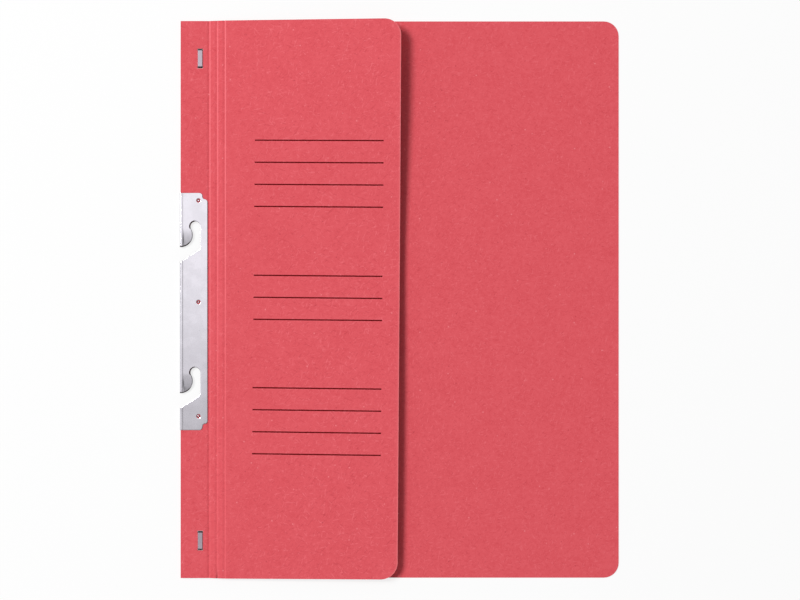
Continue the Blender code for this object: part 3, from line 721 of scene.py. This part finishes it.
def strip_rings(path, half_width, half_thickness, x):
    """A flat strip with half-round edges, carried along a path in the YZ plane.

    The ring at a path point runs round a section: straight across, half a circle at each edge, and straight
    back. It lies across X and along the path's normal.
    """
    flat = half_width - half_thickness
    edge = arc(flat, 0, half_thickness, -np.pi / 2, np.pi / 2, 11)
    side = np.stack([np.linspace(0.94, -0.94, 9) * flat, np.full(9, half_thickness)], axis=-1)
    section = np.concatenate([edge, side, -edge, -side])
    ahead = np.gradient(path, axis=0)
    ahead = ahead / np.linalg.norm(ahead, axis=1, keepdims=True)
    normal = np.stack([-ahead[:, 1], ahead[:, 0]], axis=-1)
    yz = path[:, None] + normal[:, None] * section[None, :, 1:]
    across = np.broadcast_to(x + section[:, 0], yz.shape[:2])
    return np.concatenate([across[..., None], yz], axis=-1)


def stitch_path(middle, crown, low, high, radius, tail):
    """Middle line of a stitch: tail, leg, crown, leg and tail, joined by quarter bends.

    tail is how far from the middle each tail ends.
    """
    half = crown / 2
    corners = ((-tail, low), (-half, low), (-half, high), (half, high), (half, low), (tail, low))
    bends = [fillet(corners[i - 1], corners[i], corners[i + 1], radius) for i in range(1, 5)]
    level = np.linspace(radius - half, half - radius, 41)[1:-1]
    flat_crown = np.stack([level, np.full(len(level), high)], axis=-1)
    return np.concatenate([[corners[0]], *bends[:2], flat_crown, *bends[2:], [corners[-1]]]) + [middle, 0]


wire_steel = bright_steel("stitch_wire", (0.340, 0.290, 0.330, 1), 0.56, 0.12, (3000, 300, 3000),
                          carried("scuffed_bend"))
for side in ("upper", "lower"):
    low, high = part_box(side + "_stitch")
    middle_x, middle_y = (low.x + high.x) / 2, (low.y + high.y) / 2
    path = stitch_path(middle_y, high.y - low.y - 2 * HALF_WIRE, low.z + HALF_WIRE, high.z - HALF_WIRE,
                       BEND_RADIUS, TAIL_INSET)
    rings = strip_rings(path, (high.x - low.x) / 2, HALF_WIRE, middle_x)
    wire_mesh = tube_mesh(side + "_stitch_wire", rings)
    off_middle = np.abs(rings[..., 1] - middle_y)
    end = off_middle.max()
    # Painted shade: the ends of the crown darken where the wire bends down into the card.
    carry(wire_mesh, "scuffed_bend", smooth(off_middle, end - BEND_SHADE_START, end - BEND_SHADE_FULL))
    stitch = add_piece(side + "_stitch_wire", wire_mesh, wire_steel)
    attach(stitch, "folder")
    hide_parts(side + "_stitch")


# Studio: a pale floor that goes white to the camera and keeps a soft shadow, one softbox high at the left
# towards the head, and a pale room, even to the card and brighter towards the head as the metal mirrors it.
# The camera looks straight down on the folder.

def seen_by(wire, *kinds):
    """1 for rays of the named kinds, 0 for those that only light the folder."""
    return sum((wire.node("ShaderNodeLightPath", out=f"Is {kind} Ray") for kind in kinds), 0.0) > 0.5


FLOOR_HALF, FLOOR_Z = 3.0, -0.0002
WHITE_NEAR, WHITE_FROM, WHITE_TO = 0.76, 0.3, 1.2
signs = ((-1, -1), (1, -1), (1, 1), (-1, 1))
floor_mesh = bpy.data.meshes.new("floor")
floor_mesh.from_pydata([(s * FLOOR_HALF, t * FLOOR_HALF, FLOOR_Z) for s, t in signs], [], [(0, 1, 2, 3)])
pale_floor, wire = new_finish("pale_floor")
lit = wire.node("ShaderNodeBsdfDiffuse", (), {"Color": (0.96, 0.96, 0.96, 1)})
white = wire.node("ShaderNodeEmission", (), {"Color": (1, 1, 1, 1), "Strength": 1.0})
place = wire.node("ShaderNodeTexCoord", out="Object")
distance = wire.node("ShaderNodeVectorMath", {"operation": "LENGTH"}, {0: place}, out="Value")
far = ramp(distance, WHITE_FROM, WHITE_TO)
share = seen_by(wire, "Camera", "Glossy", "Transmission") * (WHITE_NEAR + (1 - WHITE_NEAR) * far)
mixed = wire.node("ShaderNodeMixShader", (), {0: share, 1: lit, 2: white})
wire.node("ShaderNodeOutputMaterial", (), {"Surface": mixed})
floor = add_piece("floor", floor_mesh, pale_floor)

ROOM_LIGHT = 0.33
room = bpy.data.worlds.new("pale_room")
room.use_nodes = True
room.node_tree.nodes.clear()
wire = Shade(room.node_tree)
x, y = (wire.node("ShaderNodeSeparateXYZ", (), {"Vector": wire.node("ShaderNodeTexCoord")}, out=axis)
        for axis in "XY")
# What the metal mirrors grows brighter from foot to head in the camera's view, and evens out further off.
bright_side = y - 0.5 * x
in_metal = 0.20 + 0.34 * ramp(bright_side, -0.21, -0.08) + 0.53 * ramp(bright_side, -0.030, 0.085)
in_metal = in_metal * (1 - 0.5 * ramp(abs(x), 0.30, 0.85)) + 0.45 * ramp(0 - bright_side, 0.28, 0.55)
in_metal = in_metal - 0.35 * ramp(bright_side, 0.28, 0.60)
level = ROOM_LIGHT + seen_by(wire, "Camera", "Transmission") * (1 - ROOM_LIGHT)
level = level + seen_by(wire, "Glossy") * (in_metal - ROOM_LIGHT)
backdrop = wire.node("ShaderNodeBackground", (), {"Color": (1, 1, 1, 1), "Strength": level})
wire.node("ShaderNodeOutputWorld", (), {"Surface": backdrop})
bpy.context.scene.world = room

SOFTBOX_SIZE, SOFTBOX_POWER, SOFTBOX_PLACE = 1.15, 95.0, (-1.75, 0.9, 2.9)
softbox = bpy.data.lights.new("softbox", "AREA")
softbox.shape = "SQUARE"
softbox.size = SOFTBOX_SIZE
softbox.energy = SOFTBOX_POWER
key = bpy.data.objects.new("softbox", softbox)
key.location = SOFTBOX_PLACE
key.rotation_euler = key.location.to_track_quat("Z", "Y").to_euler()
bpy.context.scene.collection.objects.link(key)

CAMERA_X, CAMERA_Y, CAMERA_HEIGHT = 0.00033, -0.00025, 0.88
IMAGE_WIDTH, METRES_PER_PIXEL = 800, 0.0005485
lens = bpy.data.cameras.new("camera")
lens.sensor_width = 36.0
lens.lens = lens.sensor_width * CAMERA_HEIGHT / (IMAGE_WIDTH * METRES_PER_PIXEL)
lens.clip_start = 0.01
camera = bpy.data.objects.new("camera", lens)
camera.location = (CAMERA_X, CAMERA_Y, CAMERA_HEIGHT)
bpy.context.scene.collection.objects.link(camera)
bpy.context.scene.camera = camera
bpy.context.scene.view_settings.view_transform = "Standard"
